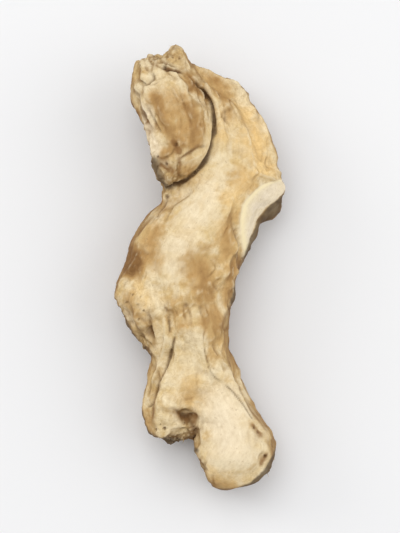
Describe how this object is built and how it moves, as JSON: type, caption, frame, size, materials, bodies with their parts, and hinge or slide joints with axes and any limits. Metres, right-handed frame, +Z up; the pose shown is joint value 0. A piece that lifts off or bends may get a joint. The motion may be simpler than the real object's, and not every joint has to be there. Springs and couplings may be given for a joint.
{
  "type": "dried ginger root",
  "caption": "Whole dried ginger rhizome lying flat: a bent trunk with a folded finger, two shoulders and two toes, wrinkled and ringed.",
  "frame": {"origin": "on the surface that the root rests on, below the middle of its bounding box", "axes": "+Y along the root towards its head, with the toes at -Y; +Z up from the surface that it rests on; +X to the right of the root seen from above"},
  "size_m": [0.043, 0.111, 0.0266],
  "materials": {
    "dried_skin": "dry matt skin, pale buff with tan and brown patches, corky crusts at the scars"
  },
  "bodies": {
    "root": {"rhizome": "dried_skin"}
  },
  "joints": []
}
